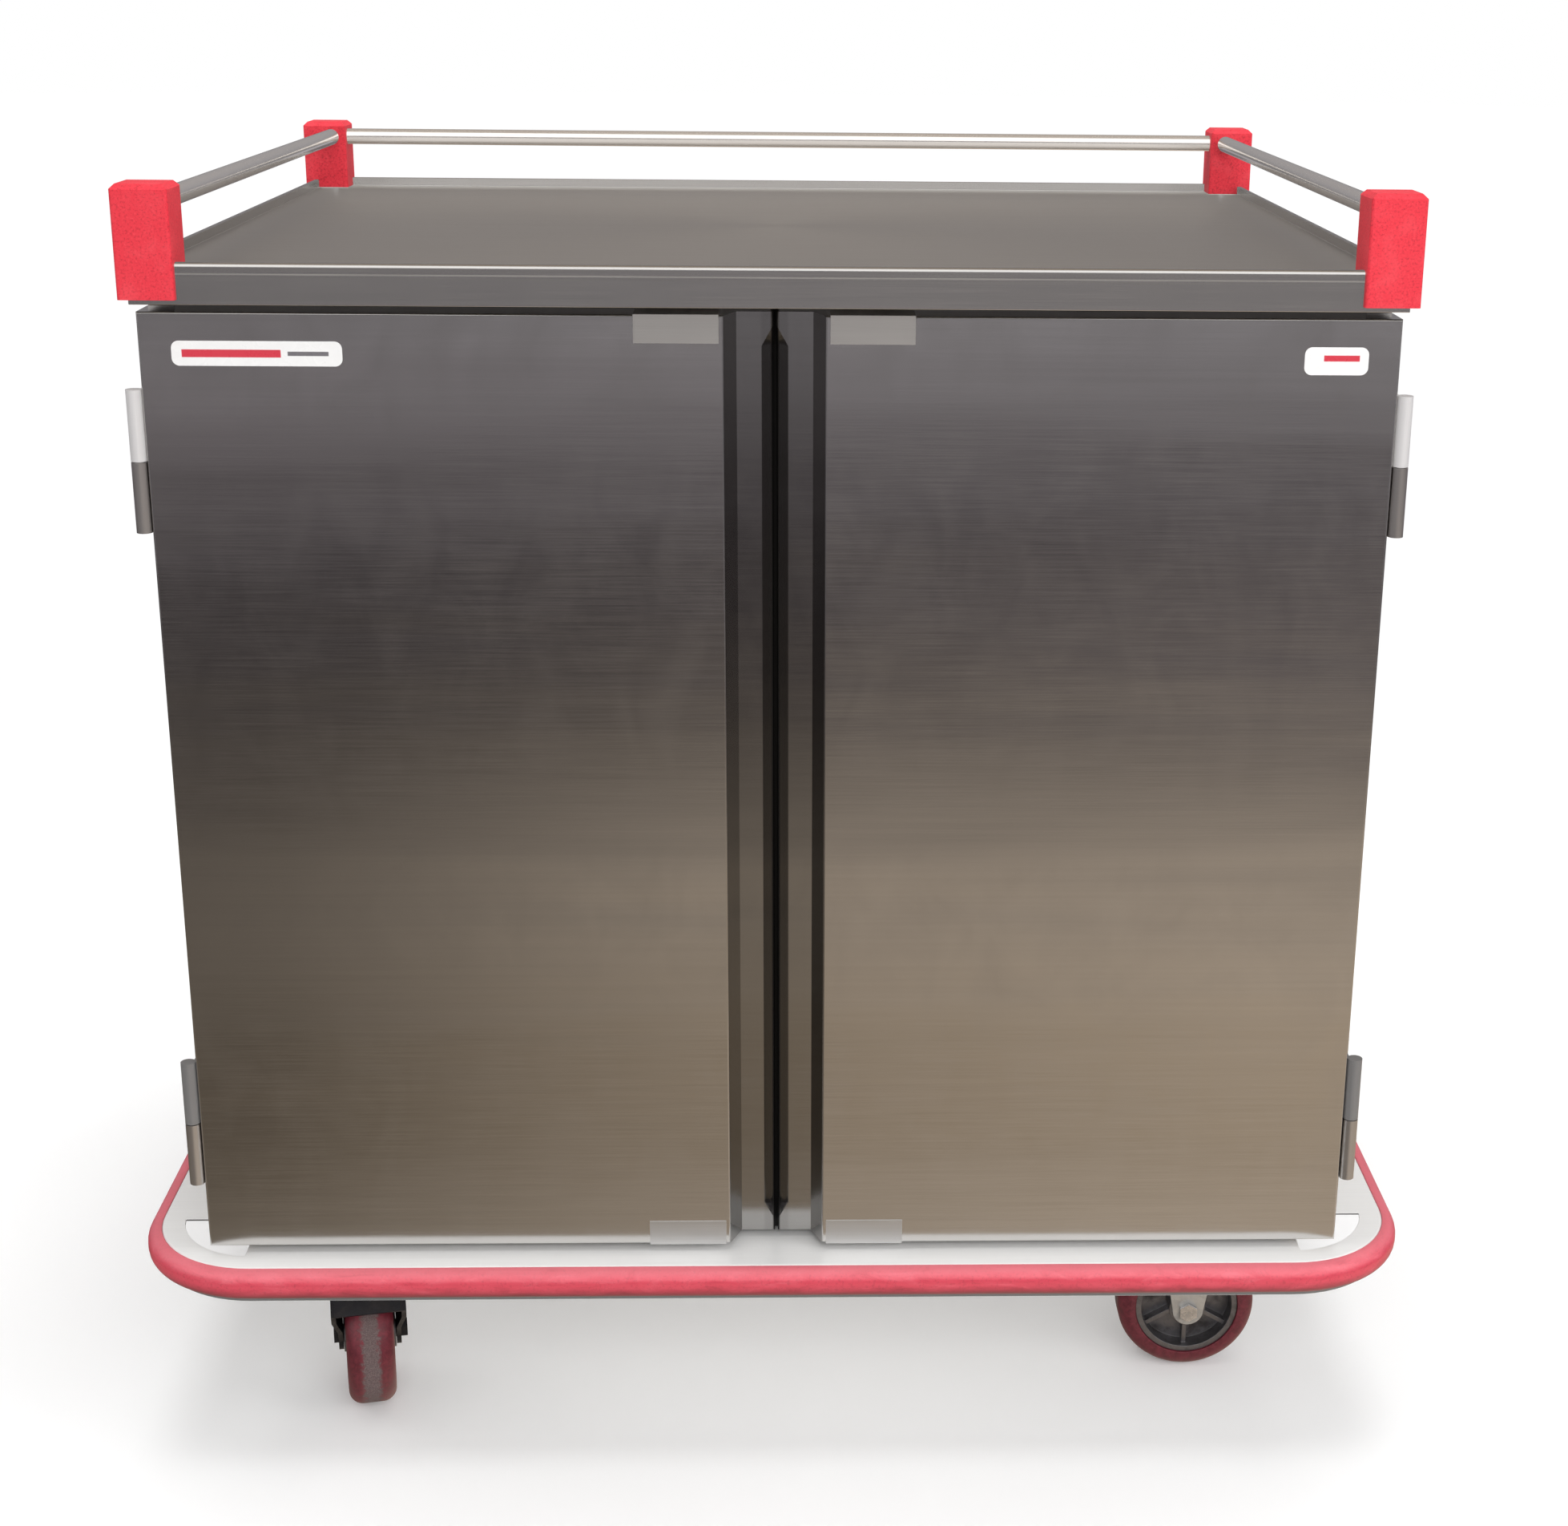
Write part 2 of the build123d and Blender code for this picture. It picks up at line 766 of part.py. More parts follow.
def axle_pieces(y):
    """The spacer sleeve, the bolt with its head, and the nut."""
    outer = fork_inner_x + fork_sheet
    sleeve = wheel_bar(sleeve_radius, fork_inner_x, y) - wheel_bar(axle_radius, hub_width, y)
    bolt = wheel_bar(axle_radius, outer + axle_nut_height, y)
    bolt -= Pos(-outer - hub_width / 2, y, wheel_radius) * Box(hub_width, hub_width, hub_width)
    hexagon = Rot(0, 90, 0) * extrude(RegularPolygon(axle_head_radius, 6), amount=axle_head_height)
    bolt += Pos(-outer - axle_head_height, y, wheel_radius) * hexagon
    nut = Rot(0, 90, 0) * extrude(RegularPolygon(axle_head_radius, 6), amount=axle_nut_height)
    nut = Pos(outer, y, wheel_radius) * nut - wheel_bar(axle_radius, outer + hub_width, y)
    return [sleeve, bolt, nut]


def guard_tip(axle_y):
    """Where the wheel guard's lower edge is, as Y and Z in the fork's frame."""
    angle = radians(guard_angle)
    return axle_y - guard_radius * cos(angle), wheel_radius + guard_radius * sin(angle)


def wheel_guard(axle_y):
    """The curved cover between a swivel fork's legs, over the front of the wheel."""
    half_length = fork_inner_x + fork_flare + 1
    cover = wheel_bar(guard_radius, half_length, axle_y)
    cover -= wheel_bar(guard_radius - guard_sheet, half_length + 1, axle_y)
    tip_y, tip_z = guard_tip(axle_y)
    reach = 2 * guard_radius
    wedge = Polyline(
        (axle_y, wheel_radius),
        (axle_y, wheel_radius + reach),
        (axle_y - reach, wheel_radius + reach),
        (axle_y - reach * cos(radians(guard_angle)), wheel_radius + reach * sin(radians(guard_angle))),
        close=True,
    )
    return cover & extrude(Plane.YZ * make_face(wedge), amount=half_length, both=True)


def fork_legs(top_z, front_y, back_y, axle_y, cheeks=()):
    """Two legs, flared above the wheel and rounded below round the axle."""
    low = wheel_radius - fork_end_radius
    inner, outer = fork_inner_x, fork_inner_x + fork_sheet
    bend = [
        (inner, low),
        (outer, low),
        (outer, fork_flare_low),
        (outer + fork_flare, fork_flare_high),
        (outer + fork_flare, top_z),
        (inner + fork_flare, top_z),
        (inner + fork_flare, fork_flare_high),
        (inner, fork_flare_low),
    ]
    strip = extrude(Plane.XZ * make_face(Polyline(*bend, close=True)), amount=plate_length, both=True)
    side = [
        (front_y, top_z),
        (back_y, top_z),
        (axle_y + fork_end_radius, wheel_radius),
        (axle_y - fork_end_radius, wheel_radius),
        *cheeks,
    ]
    profile = Plane.YZ * make_face(Polyline(*side, close=True))
    profile += Plane.YZ * Pos(axle_y, wheel_radius) * Circle(fork_end_radius)
    leg = strip & extrude(profile, amount=plate_width)
    leg -= wheel_bar(axle_radius, hub_width, axle_y)
    return leg + mirror(leg, about=Plane.YZ)


def plate_bolt_places(x, y, rigid):
    """The four bolt centres of a caster plate."""
    half_x, half_y = (plate_bolt_y, plate_bolt_x) if rigid else (plate_bolt_x, plate_bolt_y)
    return [(x + i * half_x, y + j * half_y) for i in (-1, 1) for j in (-1, 1)]


def top_plate():
    """A caster's mounting plate with its four holes."""
    plate = Pos(0, 0, caster_height - plate_thickness / 2) * Box(
        plate_width, plate_length, plate_thickness
    )
    for bolt_x, bolt_y in plate_bolt_places(0, 0, False):
        plate -= upright_cylinder(bolt_x, bolt_y, plate_bottom - 1, caster_height + 1, plate_bolt_radius)
    return plate


def rigid_fork():
    """The plate and legs of a caster that doesn't swivel."""
    return top_plate() + fork_legs(plate_bottom, -rigid_fork_half_length, rigid_fork_half_length, 0)


def swivel_plate():
    """The plate of a swivel caster, with its upper race and its kingpin."""
    nut_top = crown_bottom - race_gap
    plate = top_plate()
    plate += upright_cylinder(0, 0, race_bottom, plate_bottom, race_radius)
    plate += upright_cylinder(0, 0, nut_top, race_bottom, kingpin_radius)
    return plate + hex_prism(0, 0, nut_top - kingpin_nut_height, nut_top, kingpin_nut_radius)


def swivel_fork():
    """The turning crown and its legs, which trail the wheel behind the kingpin."""
    crown = box_between(
        (-fork_inner_x - fork_sheet - fork_flare, -swivel_fork_back, crown_bottom),
        (fork_inner_x + fork_sheet + fork_flare, swivel_fork_front, crown_top),
    )
    crown += upright_cylinder(0, 0, crown_bottom, crown_top, race_radius)
    cheek = guard_tip(-swivel_trail)
    crown += fork_legs(crown_bottom, -swivel_fork_back, swivel_fork_front, -swivel_trail, (cheek,))
    crown += wheel_guard(-swivel_trail)
    bore = kingpin_radius + kingpin_clearance
    return crown - upright_cylinder(0, 0, crown_bottom - 1, crown_top + 1, bore)


def plate_bolt(x, y):
    """A bolt up through a caster plate and the channel, with its nut."""
    top = caster_height + channel_sheet
    shank = upright_cylinder(x, y, plate_bottom, top, plate_bolt_radius)
    head = hex_prism(x, y, plate_bottom - plate_bolt_head_height, plate_bottom, plate_bolt_head_radius)
    nut = hex_prism(x, y, top, top + plate_bolt_head_height, plate_bolt_head_radius)
    return shank + head + nut


# ---- Writing the nodes ---------------------------------------------------------------------

def save_deck():
    """The deck, its channels and the bumper."""
    save("deck_pan", deck_pan())
    save("caster_channels", caster_channel(-swivel_x, swivel_y), caster_channel(rigid_x, rigid_y))
    save("bumper_track", bumper_track())
    save("bumper_strip", bumper_strip())


def save_cabinet():
    """The sheet-metal cabinet and its tray racks."""
    save("right_side_panel", side_panel())
    save("left_side_panel", to_left(side_panel()))
    save("back_panel", back_panel())
    save("cabinet_floor", inner_pan(floor_top, deck_top))
    save("cabinet_ceiling", inner_pan(ceiling_bottom, body_top))
    save("front_rails", front_rail(deck_top, floor_top), front_rail(ceiling_bottom, body_top))
    save("centre_divider", centre_divider())
    outer_wall = side_x - sheet
    inner_wall = divider_sheet / 2
    save("left_outer_rack", *tray_rack(-outer_wall, 1))
    save("left_inner_rack", *tray_rack(-inner_wall, -1))
    save("right_inner_rack", *tray_rack(inner_wall, 1))
    save("right_outer_rack", *tray_rack(outer_wall, -1))


def save_top():
    """The worktop, its corner blocks and the gallery rails."""
    save("worktop", worktop())
    for x_name, x_sign in (("left", -1), ("right", 1)):
        for y_name, y_sign in (("front", -1), ("back", 1)):
            save(f"{y_name}_{x_name}_block", corner_block(x_sign, y_sign))
    save("left_rail", side_rail(-rail_x))
    save("right_rail", side_rail(rail_x))
    save("back_rail", back_rail())
    screws = [block_screw(x, y) for x in (-rail_x, rail_x) for y in (-rail_y, rail_y)]
    save("block_screws", *screws)


def save_doors():
    """Both doors, with the catches that hold them."""
    clips = [strike_clip(door_bottom, 1), strike_clip(door_top, -1)]
    leaves = [door_leaf(level) for level in hinge_levels]
    right = {
        "skin": [door_skin()],
        "liner": [door_liner()],
        "stiffener": [door_stiffener()],
        "strikes": clips,
        "hinge_leaves": leaves,
    }
    for name, shapes in right.items():
        save(f"right_door_{name}", *shapes)
        save(f"left_door_{name}", *[to_left(shape) for shape in shapes])
    save("left_badge", badge(badge_edge_margin - door_edge_x, left_badge_width, left_badge_height))
    right_badge_x = door_edge_x - badge_edge_margin - right_badge_width
    save("right_badge", badge(right_badge_x, right_badge_width, right_badge_height))
    magnets = [magnet(door_bottom, 1), magnet(door_top, -1)]
    save("magnetic_catches", *magnets, *[to_left(shape) for shape in magnets])


def save_hinges():
    """The cabinet's half of the four hinges."""
    groups = {
        "cabinet_hinge_leaves": [cabinet_leaf(level) for level in hinge_levels],
        "hinge_pins": [hinge_pin(level) for level in hinge_levels],
        "hinge_screws": right_hinge_screws(),
    }
    for name, shapes in groups.items():
        save(name, *shapes, *[to_left(shape) for shape in shapes])


def save_wheel(name, x, y, turn, trail):
    """The three pieces that spin together."""
    save(f"{name}_tyre", placed(tyre(-trail), x, y, turn))
    save(f"{name}_wheel_core", placed(wheel_core(-trail), x, y, turn))
    save(f"{name}_wheel_bush", placed(wheel_bush(-trail), x, y, turn))


def save_casters():
    """Swivel casters on the left, rigid ones on the right."""
    swivels = (("front_left", -swivel_y, front_left_rest_turn), ("rear_left", swivel_y, rear_left_rest_turn))
    bolts = []
    for name, y, turn in swivels:
        save(f"{name}_fork", placed(swivel_fork(), -swivel_x, y, turn))
        save(f"{name}_axle", *[placed(piece, -swivel_x, y, turn) for piece in axle_pieces(-swivel_trail)])
        save_wheel(name, -swivel_x, y, turn, swivel_trail)
        bolts.extend(plate_bolt(*place) for place in plate_bolt_places(-swivel_x, y, False))
    save("swivel_plates", *[placed(swivel_plate(), -swivel_x, y, 0) for y in (-swivel_y, swivel_y)])
    forks, axles = [], []
    for name, y in (("front_right", -rigid_y), ("rear_right", rigid_y)):
        forks.append(placed(rigid_fork(), rigid_x, y, 90))
        axles.extend(placed(piece, rigid_x, y, 90) for piece in axle_pieces(0))
        save_wheel(name, rigid_x, y, 90, 0)
        bolts.extend(plate_bolt(*place) for place in plate_bolt_places(rigid_x, y, True))
    save("rigid_forks", *forks)
    save("rigid_axles", *axles)
    save("caster_bolts", *bolts)


os.makedirs("parts", exist_ok=True)
save_deck()
save_cabinet()
save_top()
save_doors()
save_hinges()
save_casters()
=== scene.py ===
"""Looks for the enclosed hospitality cart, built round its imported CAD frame. Metres, +Z up."""

import json
import math

import bpy
from mathutils import Matrix, Vector


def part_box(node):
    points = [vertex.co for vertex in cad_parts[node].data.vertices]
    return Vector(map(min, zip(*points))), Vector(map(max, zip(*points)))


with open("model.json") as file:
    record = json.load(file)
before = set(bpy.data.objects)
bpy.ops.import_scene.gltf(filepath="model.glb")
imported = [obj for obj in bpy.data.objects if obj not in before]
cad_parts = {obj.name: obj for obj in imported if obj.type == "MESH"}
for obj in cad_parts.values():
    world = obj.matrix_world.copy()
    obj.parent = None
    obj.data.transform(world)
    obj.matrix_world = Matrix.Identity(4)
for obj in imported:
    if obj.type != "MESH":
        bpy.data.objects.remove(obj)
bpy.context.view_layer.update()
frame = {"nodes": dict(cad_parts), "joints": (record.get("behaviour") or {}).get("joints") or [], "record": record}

SCENE = bpy.context.scene
NODES = frame["nodes"]
SLOT_OF = {part["node"]: part["material_slot"] for part in frame["record"]["subparts"]}
WORKTOP_LEVEL = next(m["pos_m"][2] for m in frame["record"]["mounts"] if m["name"] == "worktop_surface")
WHEEL_JOINTS = {joint["child"]: joint for joint in frame["joints"] if joint["name"].endswith("wheel_spin")}

WHITE = (1.0, 1.0, 1.0)
BLACK = (0.0, 0.0, 0.0)

# ---------------------------------------------------------------- node helpers


def shade(colour, share):
    """The same colour with only a share of its light."""
    return tuple(share * part for part in colour)


class Graph:
    """A small builder for one material's nodes."""

    def __init__(self, name):
        self.material = bpy.data.materials.new(name)
        self.material.use_nodes = True
        self.tree = self.material.node_tree
        self.tree.nodes.clear()
        self.output = self.add("ShaderNodeOutputMaterial")

    def add(self, kind, **settings):
        node = self.tree.nodes.new(kind)
        for key, value in settings.items():
            setattr(node, key, value)
        return node

    def link(self, source, target):
        self.tree.links.new(source, target)

    def put(self, socket, value):
        """Links a socket, or sets a plain value."""
        if isinstance(value, bpy.types.NodeSocket):
            self.link(value, socket)
        else:
            socket.default_value = value

    def math(self, operation, a, b=0.0, clamp=False):
        node = self.add("ShaderNodeMath", operation=operation, use_clamp=clamp)
        self.put(node.inputs[0], a)
        self.put(node.inputs[1], b)
        return node.outputs[0]

    def vector(self, operation, a, b=(0, 0, 0)):
        node = self.add("ShaderNodeVectorMath", operation=operation)
        self.put(node.inputs[0], a)
        self.put(node.inputs[1], b)
        return node.outputs["Value" if operation in ("DOT_PRODUCT", "LENGTH") else "Vector"]

    def split(self, vector):
        """A vector's X, Y and Z outputs."""
        node = self.add("ShaderNodeSeparateXYZ")
        self.link(vector, node.inputs[0])
        return node.outputs

    def place(self):
        """The place on the piece, in the cart's own frame."""
        return self.add("ShaderNodeTexCoord").outputs["Object"]

    def distance(self, axis, level):
        """How far the place is from a level along one axis."""
        offset = self.math("SUBTRACT", self.split(self.place())[axis], level)
        return self.math("ABSOLUTE", offset)

    def scaled(self, scale):
        node = self.add("ShaderNodeMapping")
        self.link(self.place(), node.inputs["Vector"])
        node.inputs["Scale"].default_value = scale
        return node.outputs[0]

    def noise(self, scale, detail=2.0, rough=0.5, warp=0.0):
        """Noise from 0 to 1. scale is a 3-vector of features per metre."""
        node = self.add("ShaderNodeTexNoise")
        self.link(self.scaled(scale), node.inputs["Vector"])
        node.inputs["Scale"].default_value = 1.0
        node.inputs["Detail"].default_value = detail
        node.inputs["Roughness"].default_value = rough
        node.inputs["Distortion"].default_value = warp
        return node.outputs["Fac"]

    def even_noise(self, scale, detail=2.0, rough=0.5, warp=0.0):
        """Noise with the same scale along all three axes."""
        return self.noise((scale, scale, scale), detail, rough, warp)

    def remap(self, value, low, high, to_low, to_high, smooth=False):
        kind = "SMOOTHSTEP" if smooth else "LINEAR"
        node = self.add("ShaderNodeMapRange", interpolation_type=kind)
        self.put(node.inputs["Value"], value)
        node.inputs["From Min"].default_value = low
        node.inputs["From Max"].default_value = high
        node.inputs["To Min"].default_value = to_low
        node.inputs["To Max"].default_value = to_high
        return node.outputs[0]

    def sway(self, value, low, high, size):
        """Turns a value between low and high into one between -size and size."""
        return self.remap(value, low, high, -size, size)

    def mix(self, factor, a, b, blend="MIX"):
        node = self.add("ShaderNodeMix", data_type="RGBA", blend_type=blend)
        self.put(node.inputs[0], factor)
        for socket, colour in ((node.inputs[6], a), (node.inputs[7], b)):
            self.put(socket, (*colour, 1) if isinstance(colour, tuple) and len(colour) == 3 else colour)
        return node.outputs[2]

    def times(self, colour, tone):
        return self.mix(1.0, colour, tone, "MULTIPLY")

    def bump(self, height, strength, distance, onto=None):
        node = self.add("ShaderNodeBump")
        node.inputs["Strength"].default_value = strength
        node.inputs["Distance"].default_value = distance
        self.link(height, node.inputs["Height"])
        if onto is not None:
            self.link(onto, node.inputs["Normal"])
        return node.outputs[0]

    def principled(self, **inputs):
        shader = self.add("ShaderNodeBsdfPrincipled")
        for name, value in inputs.items():
            socket = shader.inputs[name.replace("_", " ")]
            if isinstance(value, tuple) and len(value) == 3 and socket.type == "RGBA":
                value = (*value, 1)
            self.put(socket, value)
        self.link(shader.outputs[0], self.output.inputs["Surface"])


# ---------------------------------------------------------------- brushed sheet, its finishes and its painted shade

X_AXIS = 0
Y_AXIS = 1
Z_AXIS = 2

SHEET_SOIL = (0.36, 0.33, 0.30)
# Painted shade for the upright faces of a level sheet.
UPRIGHT_SHADE = (0.045, 0.042, 0.040)
BRUSHED_ANISOTROPY = 0.30


def stretched(along, length, across):
    """Noise features per metre: few along one axis and many across it."""
    scale = [across, across, across]
    scale[along] = length
    return scale


def sheet_colour(g, base, fine, streaks, marks, grain, smear):
    """The base colour with its grain, its clouds and a little soil."""
    cloud = g.noise((3.1, 3.1, 2.3), 3.0, 0.55, 0.4)
    value = g.math("ADD", g.sway(fine, 0.25, 0.75, 0.035 * grain), g.sway(streaks, 0.3, 0.7, 0.020 * grain))
    value = g.math("ADD", value, g.sway(cloud, 0.3, 0.7, 0.020 * smear))
    colour = g.times(base, g.math("ADD", value, 1.0))
    soil = g.remap(marks, 0.58, 0.82, 0.0, 0.06 * smear, True)
    return g.mix(soil, colour, SHEET_SOIL)


def sheet_roughness(g, rough, fine, marks, grain, smear):
    brushing = g.remap(fine, 0.2, 0.8, rough - 0.03 * grain, rough + 0.03 * grain)
    smears = g.remap(marks, 0.40, 0.80, -0.005 * smear, 0.03 * smear)
    return g.math("ADD", brushing, smears, clamp=True)


def brushed(name, along, base, rough, grain=1.0, smear=1.0, wave=0.0, metallic=1.0, finish_and_shade=None):
    """Sheet metal brushed along one axis. finish changes its roughness in places and paints shade into its colour
    in places.
    """
    g = Graph(name)
    fine = g.noise(stretched(along, 9.0, 900.0), 3.0, 0.6)
    streaks = g.noise(stretched(along, 2.2, 190.0), 3.0, 0.65)
    marks = g.noise((17.0, 17.0, 11.0), 4.0, 0.6, 0.7)
    colour = sheet_colour(g, base, fine, streaks, marks, grain, smear)
    roughness = sheet_roughness(g, rough, fine, marks, grain, smear)
    if finish_and_shade is not None:
        colour, roughness = finish_and_shade(g, colour, roughness)
    normal = g.bump(g.math("ADD", fine, g.math("MULTIPLY", streaks, 0.5)), 0.012 * grain, 0.0005)
    if wave:
        ripple = g.noise((0.9, 0.9, 7.0), 2.0, 0.4, 0.3)
        normal = g.bump(ripple, wave, 0.003, normal)
    tangent = g.add("ShaderNodeTangent", direction_type="RADIAL", axis="Z").outputs[0]
    g.principled(Base_Color=colour, Metallic=metallic, Roughness=roughness, Normal=normal,
                 Anisotropic=BRUSHED_ANISOTROPY, Anisotropic_Rotation=0.25, Tangent=tangent)
    return g.material


def painted_shade_upright_faces(g, colour, roughness):
    """Paints shade on upright faces, such as a level sheet's cut edges."""
    facing = g.split(g.add("ShaderNodeNewGeometry").outputs["True Normal"])
    upright = g.remap(g.math("ABSOLUTE", facing["Z"]), 0.25, 0.55, 0.85, 0.0, True)
    return g.mix(upright, colour, UPRIGHT_SHADE), roughness


LOWER_HINGE_TOP = 0.70
LOWER_HINGE_SHADE = 0.30


def painted_shade_lower_hinges(g, colour, roughness):
    """The lower hinges stand in the shade and look darker."""
    height = g.split(g.place())["Z"]
    blend = 0.05
    tone = g.remap(height, LOWER_HINGE_TOP - blend, LOWER_HINGE_TOP + blend, LOWER_HINGE_SHADE, 1.0, True)
    return g.times(colour, tone), roughness


GROOVE_HALF_WIDTH = 0.0125
MOUTH_HALF_WIDTH = 0.0495


def painted_shade_channel(g, colour):
    """Painted shade in the grip channel between the doors, darkest in its groove."""
    offset = g.distance("X", 0.0)
    groove = g.remap(offset, GROOVE_HALF_WIDTH - 0.002, GROOVE_HALF_WIDTH + 0.002, 0.50, 0.58, True)
    mouth = g.remap(offset, MOUTH_HALF_WIDTH - 0.003, MOUTH_HALF_WIDTH, 0.0, 0.42, True)
    return g.times(colour, g.math("ADD", groove, mouth))


# Painted shade along the seam where the doors meet.
SEAM_HALF_WIDTH = 0.003
SEAM_SHADE = 0.06
SEAM_ROUGHNESS = 0.6


def painted_shade_seam(g, colour, roughness):
    """Painted shade in a dull dark line down the middle, where the doors meet and on what shows between them."""
    offset = g.distance("X", 0.0)
    outside_seam = g.remap(offset, 0.7 * SEAM_HALF_WIDTH, 1.5 * SEAM_HALF_WIDTH, SEAM_SHADE, 1.0, True)
    rough = (SEAM_ROUGHNESS, SEAM_ROUGHNESS, SEAM_ROUGHNESS)
    return g.times(colour, outside_seam), g.mix(outside_seam, rough, roughness)


# Painted shade in the doors' grip channel and along their seam.
def door_painted_shade(g, colour, roughness):
    return painted_shade_seam(g, painted_shade_channel(g, colour), roughness)


def satin_worktop(g, colour, roughness):
    """The worktop's level face is duller than its rim."""
    inside = g.remap(g.distance("Z", WORKTOP_LEVEL), 0.0004, 0.0009, 1.0, 0.0)
    return colour, g.math("ADD", roughness, g.math("MULTIPLY", inside, 0.16), clamp=True)


# ---------------------------------------------------------------- other materials

# Painted highlight for the bumper's top and painted shade for its foot.
VINYL_PAINTED_HIGHLIGHT = (0.93, 0.28, 0.33)
VINYL_FOOT_SHADE_SHARE = 0.22
TREAD_REDS = ((0.085, 0.0075, 0.014), (0.165, 0.019, 0.031))
TREAD_GREYS = ((0.085, 0.062, 0.060), (0.165, 0.130, 0.126))
GRIME = (0.060, 0.048, 0.042)


def speckled_plastic(name, base, dark, light, rough):
    """Moulded plastic with a fine sandy grain and scuffed lighter spots."""
    g = Graph(name)
    sand = g.even_noise(430, 3.0, 0.7)
    patch = g.even_noise(42, 3.0, 0.55, 0.5)
    colour = g.mix(g.remap(sand, 0.50, 0.70, 0.0, 0.85, True), base, dark)
    colour = g.mix(g.remap(sand, 0.44, 0.28, 0.0, 0.40, True), colour, light)
    colour = g.mix(g.remap(patch, 0.45, 0.75, 0.0, 0.22, True), colour, light)
    roughness = g.remap(patch, 0.3, 0.7, rough - 0.07, rough + 0.06)
    normal = g.bump(sand, 0.35, 0.0004)
    normal = g.bump(patch, 0.15, 0.002, normal)
    g.principled(Base_Color=colour, Roughness=roughness, Normal=normal, Specular_IOR_Level=0.45)
    return g.material


def painted_light_on_vinyl(g, colour, scuff, base):
    """Paints a highlight along the bumper's top edge and painted shade on its foot, with a ragged border."""
    low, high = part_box("bumper_strip")
    height = g.remap(g.split(g.place())["Z"], low.z, high.z, 0.0, 1.0)
    ragged = g.math("ADD", height, g.sway(scuff, 0.3, 0.7, 0.06))
    colour = g.mix(g.remap(ragged, 0.62, 0.98, 0.0, 0.50, True), colour, VINYL_PAINTED_HIGHLIGHT)
    return g.mix(g.remap(ragged, 0.08, 0.56, 0.92, 0.0, True), colour, shade(base, VINYL_FOOT_SHADE_SHARE))


def vinyl(name, base, dark, light):
    """Soft extruded vinyl: faint lines along its length, dull scuffs, a painted highlight along the top and
    painted shade on the foot.
    """
    g = Graph(name)
    lines = g.noise((6, 6, 420), 2.0, 0.6)
    scuff = g.noise((26, 26, 90), 4.0, 0.65, 0.8)
    grain = g.even_noise(900, 1.0)
    speckle = g.even_noise(340, 3.0, 0.7)
    colour = g.mix(g.remap(scuff, 0.50, 0.78, 0.0, 0.45, True), base, light)
    colour = g.mix(g.remap(scuff, 0.46, 0.25, 0.0, 0.40, True), colour, dark)
    colour = g.mix(g.remap(lines, 0.5, 0.8, 0.0, 0.18, True), colour, dark)
    colour = g.mix(g.remap(speckle, 0.50, 0.72, 0.0, 0.45, True), colour, dark)
    colour = painted_light_on_vinyl(g, colour, scuff, base)
    roughness = g.remap(scuff, 0.3, 0.7, 0.28, 0.44)
    normal = g.bump(g.math("ADD", lines, g.math("MULTIPLY", grain, 0.4)), 0.18, 0.0006)
    g.principled(Base_Color=colour, Roughness=roughness, Normal=normal, Specular_IOR_Level=0.75)
    return g.material


def tread(name, centre, axis, wear_width):
    """Polyurethane tread: dark red, with a worn grey band round its middle."""
    g = Graph(name)
    offset = g.vector("SUBTRACT", g.place(), tuple(centre))
    across = g.math("ABSOLUTE", g.vector("DOT_PRODUCT", offset, tuple(axis)))
    ragged = g.even_noise(160, 4.0, 0.65, 0.6)
    grit = g.even_noise(900, 2.0, 0.6)
    edge = g.math("ADD", across, g.sway(ragged, 0.3, 0.7, 0.0035))
    worn = g.remap(edge, wear_width - 0.0025, wear_width + 0.0030, 1.0, 0.0, True)
    red = g.mix(g.remap(ragged, 0.35, 0.7, 0.0, 1.0), *TREAD_REDS)
    grey = g.mix(g.remap(grit, 0.35, 0.65, 0.0, 1.0), *TREAD_GREYS)
    colour = g.mix(g.math("MULTIPLY", worn, 0.88), red, grey)
    roughness = g.math("ADD", g.math("MULTIPLY", worn, 0.28), g.remap(ragged, 0.3, 0.7, 0.34, 0.48))
    height = g.math("ADD", g.math("MULTIPLY", grit, worn), g.math("MULTIPLY", ragged, 0.6))
    g.principled(Base_Color=colour, Roughness=roughness, Normal=g.bump(height, 0.35, 0.0007))
    return g.material


def cast(name, base, rough, metallic=1.0, flake=90.0, grime=0.35):
    """Cast or plated metal: fine pits, mottled plating and grime in patches."""
    g = Graph(name)
    cells = g.add("ShaderNodeTexVoronoi", feature="F1")
    g.link(g.scaled((flake, flake, flake)), cells.inputs["Vector"])
    cells.inputs["Scale"].default_value = 1.0
    parts = g.add("ShaderNodeSeparateColor")
    g.link(cells.outputs["Color"], parts.inputs[0])
    mottle = parts.outputs[0]
    pits = g.even_noise(700, 2.0, 0.6)
    dirt = g.even_noise(38, 4.0, 0.62, 0.6)
    colour = g.mix(g.remap(mottle, 0.0, 1.0, 0.0, 0.30), base, shade(base, 0.70))
    colour = g.mix(g.remap(dirt, 0.48, 0.74, 0.0, grime, True), colour, GRIME)
    roughness = g.math("ADD", g.remap(mottle, 0.0, 1.0, rough - 0.05, rough + 0.07),
                       g.remap(dirt, 0.45, 0.75, 0.0, 0.20, True), clamp=True)
    normal = g.bump(pits, 0.22, 0.0005)
    g.principled(Base_Color=colour, Metallic=metallic, Roughness=roughness, Normal=normal)
    return g.material


def plain_plastic(name, base, rough):
    """Plain moulded plastic, a little uneven."""
    g = Graph(name)
    fine = g.even_noise(500, 2.0, 0.6)
    patch = g.even_noise(30, 3.0, 0.6, 0.4)
    colour = g.mix(g.remap(patch, 0.35, 0.75, 0.0, 0.35, True), base, shade(base, 0.82))
    roughness = g.remap(patch, 0.3, 0.7, rough - 0.05, rough + 0.06)
    g.principled(Base_Color=colour, Roughness=roughness, Normal=g.bump(fine, 0.08, 0.0003))
    return g.material


